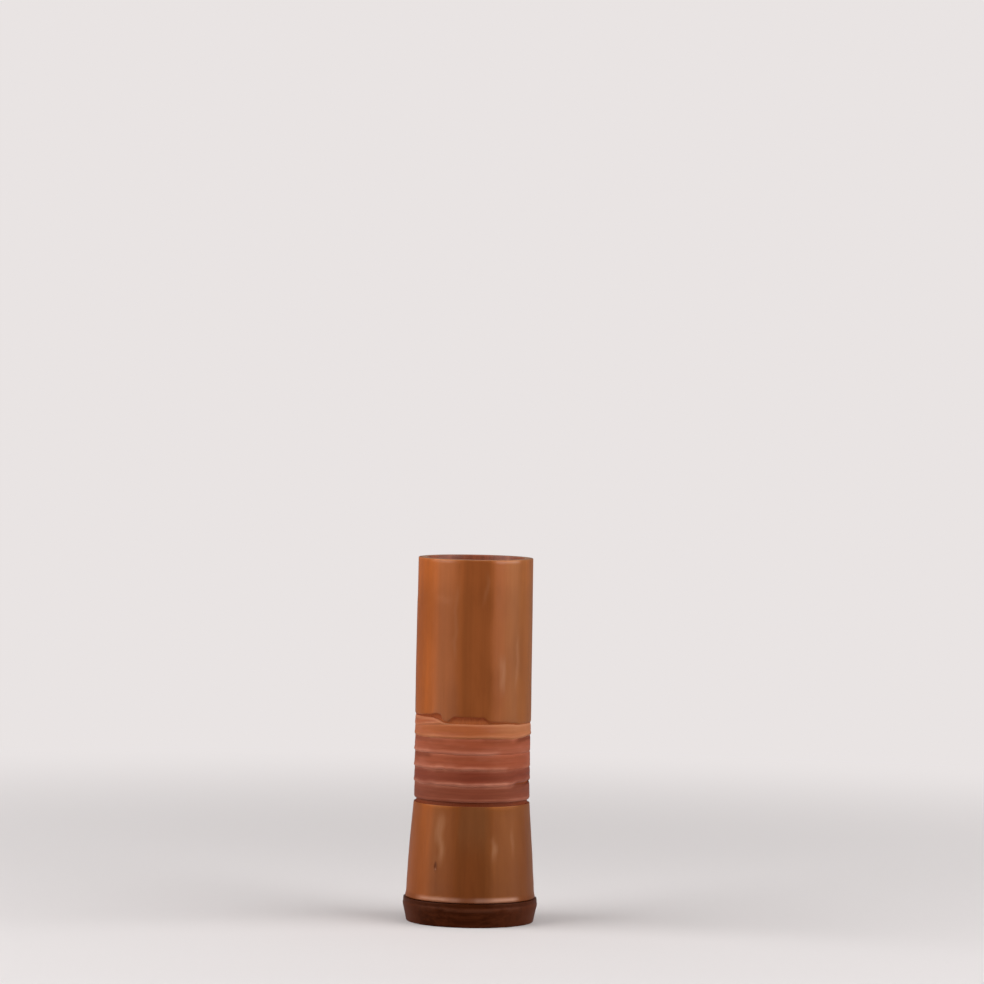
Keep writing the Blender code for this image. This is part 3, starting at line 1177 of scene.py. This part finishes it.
    def _divide(self, bench: Bench) -> None:
        """Cuts the culm's long bands into shorter ones, so that they can be uneven.

        Args:
            bench: The culm, in edit mode.
        """
        bands_and_cuts = (
            (band(self.groove_top + 6 * MM, self.height - 3 * MM, 31 * MM, 35 * MM), 40),
            (band(self.groove_bottom + 5 * MM, self.groove_top - 7 * MM, 31 * MM, 33 * MM), 12),
            (band(self.groove_bottom + 5 * MM, self.height - 3 * MM, 27 * MM, 29 * MM), 50),
            (band(self.floor_height + 6 * MM, self.groove_bottom - MM, 27 * MM, 30.3 * MM), 12),
            (band(21 * MM, 66 * MM, 33.5 * MM, 38 * MM), 2),
        )
        for wanted, cuts in bands_and_cuts:
            bench.pick(Part.UPRIGHTS, wanted)
            bpy.ops.mesh.subdivide(number_cuts=cuts)

    def _sink_scar(self, bench: Bench) -> None:
        """Sinks the scar into the skin, with a low rim, in a patch of finer faces.

        Args:
            bench: The culm, in edit mode.
        """
        middle = self.scar_middle()
        inward = -Vector((middle.x, middle.y, 0)).normalized()

        def reach(place: Vector) -> float:
            """Returns how many half-sizes of the scar a place is from its middle.

            Args:
                place: The place.

            Returns:
                The reach.
            """
            off = place - middle
            level = Vector((off.x, off.y)).length / (self.scar_width / 2)
            return math.hypot(level, off.z / (self.scar_length / 2))

        def sink(place: Vector) -> Vector:
            """Returns how far a place of the skin moves.

            Args:
                place: The place.

            Returns:
                Its shift.
            """
            off = reach(place)
            rim = 0.2 * ease(off, 0.8, 1.1) * (1 - ease(off, 1.1, 1.5))
            return inward * self.scar_depth * (1 - ease(off, 0.2, 1.1) - rim)

        bench.pick(Part.FACES, lambda place: reach(place) < 2.4)
        bpy.ops.mesh.subdivide(number_cuts=3)
        bench.move_each(lambda place: reach(place) < 1.5, sink)

    def _uneven(self, item: bpy.types.Object) -> None:
        """Makes the outside and the bore slightly uneven, as a grown culm is.

        Args:
            item: The culm.
        """
        skin = item.vertex_groups.new(name="skin")
        bore = item.vertex_groups.new(name="bore")
        for vertex in item.data.vertices:
            place, reach = vertex.co, vertex.co.xy.length
            shoulder = self.shoulder_height(angle_of(place)) if reach > 1 * MM else 0.0
            if reach > self.groove_radius + 1.2 * MM and place.z > shoulder - 0.1 * MM:
                weight = ease(place.z, shoulder, shoulder + 8 * MM)
                weight *= 1 - 0.6 * ease(place.z, self.height - 6 * MM, self.height - 1 * MM)
                skin.add([vertex.index], weight, "REPLACE")
            elif reach > self.neck_radius - 0.5 * MM and place.z < self.groove_bottom:
                weight = ease(place.z, 20 * MM, 30 * MM)
                weight *= 1 - ease(place.z, 62 * MM, self.groove_bottom)
                skin.add([vertex.index], weight, "REPLACE")
            elif reach < self.floor_radius + 1 * MM and place.z > self.floor_height - 2 * MM:
                weight = 1 - ease(place.z, self.height - 6 * MM, self.height - 2 * MM)
                bore.add([vertex.index], weight, "REPLACE")
        Swell(0.55 * MM, 22 * MM, 3.0, 1).push(item, "skin")
        Swell(0.12 * MM, 7 * MM, 3.0, 1).push(item, "skin")
        Swell(0.9 * MM, 12 * MM, 2.0, 2).push(item, "bore")
        item.vertex_groups.clear()

    def _dress(self, item: bpy.types.Object) -> None:
        """Gives the culm's surfaces their finishes: the skin all over, then what differs.

        Args:
            item: The culm.
        """
        rim, groove, mouth = self.rim_radius, self.groove_radius, self.bore_radius
        for material in (
            self.skin.material(
                self.scar_middle(), self.ridge_height, self.groove_bottom, self.height
            ),
            self.cut.material(mouth, rim),
            self.bore.material(self.floor_height),
            self.groove.material(self.groove_bottom, self.groove_top),
        ):
            item.data.materials.append(material)
        well_floor = self.floor_height - 2 * MM
        well = band(well_floor, math.inf, -1.0, mouth + 0.3 * MM)
        well_foot = band(well_floor, 70 * MM, -1.0, mouth + 1.9 * MM)
        carved = band(
            self.groove_bottom - 0.2 * MM, math.inf, groove - 0.5 * MM, groove + 1.2 * MM
        )
        tests = (
            band(self.height - 0.5 * MM, math.inf, mouth + 0.2 * MM, rim - 0.3 * MM),
            lambda place: well(place) or well_foot(place),
            lambda place: carved(place)
            and place.z < self.shoulder_height(angle_of(place)) + 0.05 * MM,
        )
        with Bench(item) as bench:
            for slot_index, wanted in enumerate(tests, start=1):
                bench.give_finish(slot_index, wanted)
        smooth(item, 38)


@dataclass
class Lay:
    """How the strip's lower edge was laid at a place.

    It is raised by rise, its lip is that share of a whole one, shade is the shadow under the lip,
    and glow is how light the strip's lower half is.
    """

    rise: float = 0.0
    lip: float = 1.0
    shade: float = 0.0
    glow: float = 0.0


@dataclass(frozen=True)
class Quirk:
    """A stretch of one turn, in degrees from the front, where the strip was laid differently.

    The turns count from 1 at the foot, blend is how far the stretch fades out at its ends, and
    the rest is as in Lay, with the rise in millimetres.
    """

    turn: int
    start: float
    end: float
    blend: float
    rise: float
    lip: float
    shade: float = 0.0
    glow: float = 0.0

    def share(self, turn: int, angle: float) -> float:
        """Returns how far the stretch holds at a place.

        Args:
            turn: The turn.
            angle: Degrees from the front, from -180 to 180.

        Returns:
            The share, from 0 to 1.
        """
        if turn != self.turn:
            return 0.0
        rising = ease(angle, self.start - self.blend, self.start)
        return rising * (1 - ease(angle, self.end, self.end + self.blend))


@dataclass
class Winding:
    """The rattan strip: five lapped turns and a tail, climbing from turn to turn behind.

    Angles along the winding run on from turn to turn. A wave's row is (degrees, line, mm), and
    the gap under the groove's shoulder is in (degrees, mm).
    """

    culm: Culm
    turns: int = 5
    pitch: float = 9.1 * MM
    last_climb: float = 7.9 * MM
    bottom: float = 71.9 * MM
    top: float = 119.9 * MM
    lap: float = 0.7 * MM
    thickness: float = 0.55 * MM
    seat_radius: float = 33.30 * MM
    slope: float = 0.36 * MM
    lip: float = 0.28 * MM
    lip_height: float = 1.1 * MM
    lip_width: float = 0.9 * MM
    edge_round: float = 0.44 * MM
    upper_round: float = 0.25 * MM
    crown: float = 0.10 * MM
    soft_edge: float = 0.12 * MM
    bead_light: float = 1.10
    curl_light: float = 0.6
    spill_light: float = 0.50
    bare_light: float = 1.1
    climb_start: float = 90.0
    climb_span: float = 180.0
    head_angle: float = 150.0
    tail_angle: float = 340.0
    tail_cut: float = 27.0
    degrees_per_station: float = 2.0
    near_lip: tuple[float, ...] = (0.0, 0.08, 0.2, 0.4, 0.7, 1.0, 1.3, 1.7, 2.3, 3.1)
    face_columns: int = 6
    near_top: tuple[float, ...] = (1.5, 1.0, 0.6, 0.25, 0.0)
    waves: tuple[tuple[float, float, float], ...] = ((34, 1, 0.42), (12, 2, 0.36), (5, 5, 0.16))
    shoulder_gap: Table = (
        (-130, 0.8), (-100, 0.9), (-80, 0.6), (-64, 0.5), (-50, 1.1), (-40, 2.2), (-35, 2.0),
        (-31, 0.3), (-25, 0.25), (-20, 0.8), (15, 0.8), (44, 0.8), (56, 0.4), (90, 0.5), (140, 0.8),
    )
    quirks: tuple[Quirk, ...] = (
        Quirk(4, 18, 100, 16, 0.0, 1.0, 0.0, 0.30),
        Quirk(4, -14, 14, 10, 0.0, 1.0, 0.0, 0.14),
        Quirk(4, -110, -56, 16, 0.0, 1.0, 0.0, 0.28),
        Quirk(3, -110, -60, 14, 0.0, 1.0, 0.0, 0.40),
        Quirk(1, -110, -30, 14, 0.0, 0.15),
        Quirk(1, -30, 100, 14, 0.0, 0.45),
        Quirk(4, 32, 92, 12, 0.25, 0.12),
        Quirk(4, -100, -50, 8, 0.0, 1.0, 0.8),
        Quirk(3, 40, 92, 8, 0.2, 0.25),
        Quirk(3, -37, -31, 4, 0.45, 1.3, 0.3),
        Quirk(3, -8, 14, 8, 0.15, 1.05, 0.2),
        Quirk(2, 52, 92, 12, 1.8, 0.45, 0.9),
        Quirk(2, -24, 34, 14, 0.0, 1.35),
        Quirk(2, 16, 32, 8, 0.0, 1.25),
        Quirk(5, -100, -34, 10, 0.0, 1.0, 0.4),
        Quirk(5, 14, 38, 7, 0.0, 0.85, 0.4),
        Quirk(5, 54, 96, 10, 0.6, 0.9, 0.9),
        Quirk(5, -30, 10, 12, 0.0, 0.60),
        Quirk(6, -120, -75, 48, -2.3, 0.6),
    )
    finish: RattanSplit = field(default_factory=RattanSplit)

    @property
    def end(self) -> float:
        """Returns the angle along the winding at which the tail ends."""
        return self.turns * 360 + self.tail_angle

    def level(self, angle: float) -> float:
        """Returns the height of the strip's lower edge as it was meant.

        Args:
            angle: Degrees along the winding.

        Returns:
            The height.
        """
        turn, into_turn = divmod(angle - self.climb_start, 360)
        level = turn + ease(into_turn, 0, self.climb_span)
        climb = self.pitch * (min(level, self.turns) - 1)
        return self.bottom + climb + self.last_climb * max(level - self.turns, 0)

    def lay(self, angle: float) -> Lay:
        """Returns how the strip's lower edge was laid at a place, with all its quirks.

        Args:
            angle: Degrees along the winding.

        Returns:
            The lay.
        """
        turn = int((angle + 180) // 360)
        lay = Lay()
        for quirk in self.quirks:
            share = quirk.share(turn, around(angle))
            lay.rise += quirk.rise * MM * share
            lay.lip *= 1 - (1 - quirk.lip) * share
            lay.shade += quirk.shade * share
            lay.glow += quirk.glow * share
        return lay

    def lower_edge(self, angle: float) -> float:
        """Returns the height of the strip's lower edge as it lies, wavy and quirky.

        Args:
            angle: Degrees along the winding.

        Returns:
            The height.
        """
        level = self.level(angle)
        if angle > self.end:
            return level
        wave = sum(ripple(angle / span, line, size * MM) for span, line, size in self.waves)
        free = ease(level, self.bottom, self.bottom + 2 * MM)
        return level + wave * (0.4 + 0.6 * free) + self.lay(angle).rise

    def edges(self, angle: float) -> tuple[float, float]:
        """Returns the heights of the strip's two edges, trimmed at its head and tail.

        Args:
            angle: Degrees along the winding.

        Returns:
            The lower and the upper height.
        """
        side = around(angle)
        lower = max(self.lower_edge(angle), self.bottom)
        upper = self.level(angle + 360) + self.lap + ripple(angle / 27, 3, 0.15 * MM)
        gap = between(self.shoulder_gap, side) * MM
        upper = min(upper, self.top, self.culm.shoulder_height(side) - gap)
        tail = ease(angle, self.end - self.tail_cut, self.end)
        return lower, upper + (lower + 0.5 * MM - upper) * tail

    def lift(self, angle: float) -> float:
        """Returns how proud and light the lip is at a place along the winding, about 1."""
        return 1 + ripple(angle / 23, 4, 0.45) + ripple(angle / 8, 6, 0.25)

    def section(self, angle: float) -> list[Vector]:
        """Returns the outer face of the strip's section, from its lower edge to its upper edge.

        Args:
            angle: Degrees along the winding.

        Returns:
            Points as (radius, height, distance from the lower edge).
        """
        lower, upper = self.edges(angle)
        width = upper - lower
        swell = min(1.0, (self.level(angle + 360) - self.bottom) / self.pitch)
        lip_share, lift = self.lay(angle).lip, self.lift(angle)
        squeeze = min(1.0, width / (6 * MM))
        steps = [step * MM * squeeze for step in self.near_lip]
        rest = width - steps[-1] - self.near_top[0] * MM * squeeze
        columns = self.face_columns
        steps += [steps[-1] + rest * step / columns for step in range(1, columns)]
        steps += [width - step * MM * squeeze for step in self.near_top]
        points = []
        for step in steps:
            share = step / (self.pitch + self.lap)
            slope = self.slope * (1 - share) * swell * (0.35 + 0.65 * lip_share)
            bulge = math.exp(-(((step - self.lip_height) / self.lip_width) ** 2))
            edge_round = self.edge_round * (1 - ease(step, -0.6 * MM, 1.1 * MM))
            crown = self.crown * math.sin(math.pi * min(share, 1.0))
            upper_round = self.upper_round * ease(step, width - 1.3 * MM, width)
            radius = self.seat_radius + slope + self.lip * lip_share * lift * bulge * swell
            radius += crown - edge_round - upper_round + ripple(angle / 15, step / MM, 0.07 * MM)
            points.append(Vector((radius, lower + step, step)))
        return points

    def tints(self, angle: float, height: float, across: float) -> tuple[float, float]:
        """Returns how light a point is, on a lip or a bare upper edge, and how dark, under a lip.

        Args:
            angle: Degrees along the winding.
            height: The point's height.
            across: Its distance from the lower edge.

        Returns:
            The light and the dark, from 0.
        """
        _, upper = self.edges(angle)
        own, above = self.lay(angle), self.lay(angle + 360)
        bead = self.bead_light * (1 - ease(abs(across - 0.9 * MM), 0.3 * MM, 1.8 * MM))
        curl = self.curl_light * (1 - ease(across, 0.2 * MM, 0.9 * MM))
        light = (bead + curl) * own.lip * self.lift(angle)
        light += own.glow * (1 - ease(across, 2.5 * MM, 6.0 * MM))
        bare = ease(angle + 360, self.end - 14, self.end)
        drop = 0.8 * MM * ease(-around(angle), 38, 60)
        edge = 1 - ease(abs(upper - height - drop), 0.4 * MM, 1.6 * MM)
        light += bare * edge * self.bare_light
        under = self.lower_edge(angle + 360) - height
        spill = self.spill_light * above.lip * self.lift(angle + 360) * (1 - min(above.shade, 1.0))
        light += spill * (1 - bare) * (1 - ease(under, 0.3 * MM, 1.7 * MM))
        dark = above.shade * (1 - ease(under, 1.5 * MM, 3.4 * MM))
        return light, dark * (1 - bare)

    def build(self) -> bpy.types.Object:
        """Builds the winding and dresses it.

        Returns:
            The piece.
        """
        stations = round((self.end - self.head_angle) / self.degrees_per_station)
        columns = len(self.near_lip) + self.face_columns + len(self.near_top) - 2
        bpy.ops.object.select_all(action="DESELECT")
        bpy.ops.mesh.primitive_grid_add(x_subdivisions=stations, y_subdivisions=columns, size=1)
        item = bpy.context.object
        item.name = item.data.name = "vase_winding"
        self._wind(item, stations, columns)
        with Bench(item):
            bpy.ops.mesh.select_all(action="SELECT")
            bpy.ops.mesh.normals_make_consistent(inside=False)
        self._thicken(item)
        item.data.materials.append(self.finish.material(2 * math.pi * self.seat_radius))
        smooth(item, 50)
        return item

    def _wind(self, item: bpy.types.Object, stations: int, columns: int) -> None:
        """Winds the flat grid round the culm, and gives it a UV map in metres along and across.

        Args:
            item: The grid.
            stations: Its faces along the strip.
            columns: Its faces across the strip.
        """
        span = self.end - self.head_angle
        angles = [self.head_angle + span * station / stations for station in range(stations + 1)]
        sections = [self.section(angle) for angle in angles]
        places, tints = {}, []
        body = item.vertex_groups.new(name="body")
        for vertex in item.data.vertices:
            station = round((vertex.co.x + 0.5) * stations)
            column = round((vertex.co.y + 0.5) * columns)
            angle = angles[station]
            radius, height, across = sections[station][column]
            body.add([vertex.index], ease(across, -1.0 * MM, 1.4 * MM), "REPLACE")
            places[vertex.index] = (math.radians(angle) * self.seat_radius, across)
            vertex.co = polar(angle, radius, height)
            tints.append(self.tints(angle, height, across))
        layer = item.data.uv_layers.active.data
        for loop in item.data.loops:
            layer[loop.index].uv = places[loop.vertex_index]
        for name, values in zip(("light", "dark"), zip(*tints)):
            item.data.attributes.new(name, "FLOAT", "POINT")
            item.data.attributes[name].data.foreach_set("value", values)

    def _thicken(self, item: bpy.types.Object) -> None:
        """Gives the strip its thickness, inwards, and softens its edges.

        Args:
            item: The strip's outer face.
        """
        wall = item.modifiers.new("thickness", "SOLIDIFY")
        wall.thickness = self.thickness
        wall.offset = -1.0
        wall.use_even_offset = False
        wall.vertex_group = "body"
        soft = item.modifiers.new("edges", "BEVEL")
        soft.width = self.soft_edge
        soft.segments = 2
        soft.limit_method = "ANGLE"
        soft.angle_limit = math.radians(60)
        apply_all(item)
        item.vertex_groups.clear()


@dataclass
class TurnedBase:
    """The dark turned base, with its spigot up inside the culm and a recess underneath.

    The side's rows are (height, radius) in mm.
    """

    spigot_radius: float = 30.1 * MM
    spigot_top: float = 17.5 * MM
    ledge_radius: float = 38.70 * MM
    ledge_height: float = 13.8 * MM
    ring_inner: float = 30.15 * MM
    recess: float = 1.6 * MM
    side: Table = (
        (0.0, 36.75), (0.25, 37.0), (1.0, 37.2), (2.6, 37.5), (4.4, 37.85), (6.2, 38.25),
        (8.0, 38.68), (9.2, 38.95), (10.0, 39.08), (10.7, 39.08), (11.1, 38.97), (11.4, 38.88),
        (12.4, 38.86), (13.3, 38.80),
    )
    finish: DarkTurnedWood = field(default_factory=DarkTurnedWood)

    def outline(self) -> list[Corner]:
        """Makes the base's outline.

        Returns:
            The corners, from under its middle, up outside and over the spigot.
        """
        return [
            Corner(self.ring_inner - self.recess, self.recess),
            Corner(self.ring_inner, 0.0, 0.4 * MM),
            *(Corner(radius * MM, height * MM) for height, radius in self.side),
            Corner(self.ledge_radius, self.ledge_height, 0.15 * MM),
            Corner(self.spigot_radius, self.ledge_height),
            Corner(self.spigot_radius, self.spigot_top, 0.6 * MM),
            Corner(self.spigot_radius / 2, self.spigot_top),
            Corner(0.0, self.spigot_top),
        ]

    def build(self) -> bpy.types.Object:
        """Builds the base and dresses it.

        Returns:
            The piece.
        """
        item = Lathe().turn("vase_base", self.outline())
        item.data.materials.append(self.finish.material(self.ledge_height))
        smooth(item, 38)
        return item


@dataclass
class Studio:
    """A plain pale floor and wall without a horizon, two soft lamps, one overhead, the camera."""

    pale: Colour = (0.815, 0.775, 0.770)
    bounce: Colour = (0.360, 0.310, 0.300)
    white: Colour = (1.0, 1.0, 1.0)
    floor_size: float = 8.0
    floor_roughness: float = 0.7
    near: float = 0.30
    far: float = 1.10
    fill: float = 0.10
    lamp_distance: float = 1.45
    lamp_size: tuple[float, float] = (1.85, 1.4)
    top_place: tuple[float, float, float] = (0.0, 0.15, 1.6)
    top_size: tuple[float, float] = (1.6, 1.6)
    top_power: float = 4.0
    target: tuple[float, float, float] = (0.0, 0.0, 0.1)
    wall_place: float = 1.9
    wall_glow: float = 0.22
    camera_distance: float = 2.73
    camera_height: float = 0.346
    camera_turn: float = 0.1797
    camera_tilt: float = 2.022
    camera_roll: float = 1.048
    lens: float = 172.2
    sensor: float = 36.0

    def plane(self, name: str, place: float, tilt: float) -> tuple[bpy.types.Object, Graph]:
        """Adds a large plane with a material.

        Args:
            name: Its name, and the material's.
            place: How far behind the vase it is.
            tilt: Its turn about X, in radians.

        Returns:
            The plane, and the material's nodes.
        """
        bpy.ops.object.select_all(action="DESELECT")
        bpy.ops.mesh.primitive_plane_add(
            size=self.floor_size, location=(0.0, place, 0.0), rotation=(tilt, 0.0, 0.0)
        )
        item = bpy.context.object
        item.name = item.data.name = name
        graph = Graph(bpy.data.materials.new(name))
        item.data.materials.append(graph.owner)
        return item, graph

    def glow(self, graph: Graph, strength: float) -> Wire:
        """Adds a pale glow to a material."""
        sockets = {"Color": self.pale, "Strength": strength}
        return graph.node("ShaderNodeEmission", 0, sockets)

    def floor(self) -> bpy.types.Object:
        """Builds the floor, which fades into the plain background away from the vase.

        Returns:
            The floor.
        """
        item, graph = self.plane("studio_floor", 0.0, 0.0)
        x, y, _ = graph.parts(graph.place())
        seen = graph.seen()
        colour = graph.mix(seen, self.bounce, self.pale)
        graph.finish({"Base Color": colour, "Roughness": self.floor_roughness})
        share = seen * graph.reach(x, y).step(self.near, self.far)
        graph.show(share, Wire(graph, graph.shader.outputs[0]), self.glow(graph, 1.0))
        return item

    def wall(self) -> bpy.types.Object:
        """Builds the pale wall behind the vase, which lights and mirrors in its edges.

        Returns:
            The wall.
        """
        item, graph = self.plane("studio_wall", self.wall_place, math.pi / 2)
        graph.show(graph.seen(), self.glow(graph, self.wall_glow), self.glow(graph, 1.0))
        return item

    def world(self) -> None:
        """Makes the world: a dim fill for the vase, and the floor's colour for the camera."""
        bpy.context.scene.world = bpy.data.worlds.new("studio")
        graph = Graph(bpy.context.scene.world)
        graph.finish({"Color": self.white, "Strength": self.fill})
        shown = graph.node("ShaderNodeBackground", 0, {"Color": self.pale})
        graph.show(graph.seen(), Wire(graph, graph.shader.outputs[0]), shown)

    def lamp(self, name: str, place: Vector, size: tuple[float, float], power: float) -> None:
        """Adds a soft rectangular lamp that points at the vase.

        Args:
            name: The lamp's name.
            place: Where it stands.
            size: Its width and height.
            power: Its power in watts.
        """
        bpy.ops.object.select_all(action="DESELECT")
        bpy.ops.object.light_add(type="AREA", location=place)
        item = bpy.context.object
        item.name = name
        item.data.shape = "RECTANGLE"
        item.data.size, item.data.size_y = size
        item.data.energy = power
        aim = Vector(self.target) - place
        item.rotation_euler = aim.to_track_quat("-Z", "Y").to_euler()
        item.visible_camera = False

    def lamps(self) -> None:
        """Adds the lamps at the two sides and overhead."""
        for side in Side:
            angle, height, power = side.value
            place = polar(angle, self.lamp_distance, height)
            self.lamp(f"lamp_{side.name.lower()}", place, self.lamp_size, power)
        self.lamp("lamp_top", Vector(self.top_place), self.top_size, self.top_power)

    def camera(self) -> None:
        """Adds the camera at the photograph's angle, and makes it the scene's."""
        turn, tilt, roll = map(
            math.radians, (self.camera_turn, self.camera_tilt, self.camera_roll)
        )
        ahead = Vector(
            (math.sin(turn) * math.cos(tilt), math.cos(turn) * math.cos(tilt), -math.sin(tilt))
        )
        level = ahead.cross(Vector((0, 0, 1))).normalized()
        upright = level.cross(ahead)
        right = level * math.cos(roll) + upright * math.sin(roll)
        up = upright * math.cos(roll) - level * math.sin(roll)
        data = bpy.data.cameras.new("camera")
        data.lens = self.lens
        data.sensor_width = self.sensor
        data.clip_start, data.clip_end = 0.05, 50.0
        item = bpy.data.objects.new("camera", data)
        bpy.context.scene.collection.objects.link(item)
        place = Matrix.Translation((0.0, -self.camera_distance, self.camera_height))
        item.matrix_world = place @ Matrix((right, up, -ahead)).transposed().to_4x4()
        bpy.context.scene.camera = item

    def build(self) -> None:
        """Builds the floor, the light and the camera."""
        self.floor()
        self.wall()
        self.world()
        self.lamps()
        self.camera()
        bpy.context.scene.view_settings.view_transform = "Standard"


def hand_over(piece: bpy.types.Object, node: str) -> None:
    """Puts a finished piece on the vase's body in place of its CAD node, and reports it.

    Args:
        piece: The piece.
        node: The CAD node that it stands for.
    """
    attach(piece, BODY)
    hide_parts(node)
    triangles = sum(len(face.vertices) - 2 for face in piece.data.polygons)
    LOG.info("%s stands for %s, with %d triangles", piece.name, node, triangles)


def main() -> None:
    """Builds the studio and the vase's pieces."""
    logging.basicConfig(level=logging.INFO, format="%(name)s: %(message)s")
    Studio().build()
    culm = Culm()
    hand_over(culm.build(), "bamboo_culm")
    hand_over(Winding(culm).build(), "rattan_winding")
    hand_over(TurnedBase().build(), "turned_base")


if __name__ == "__main__":
    main()
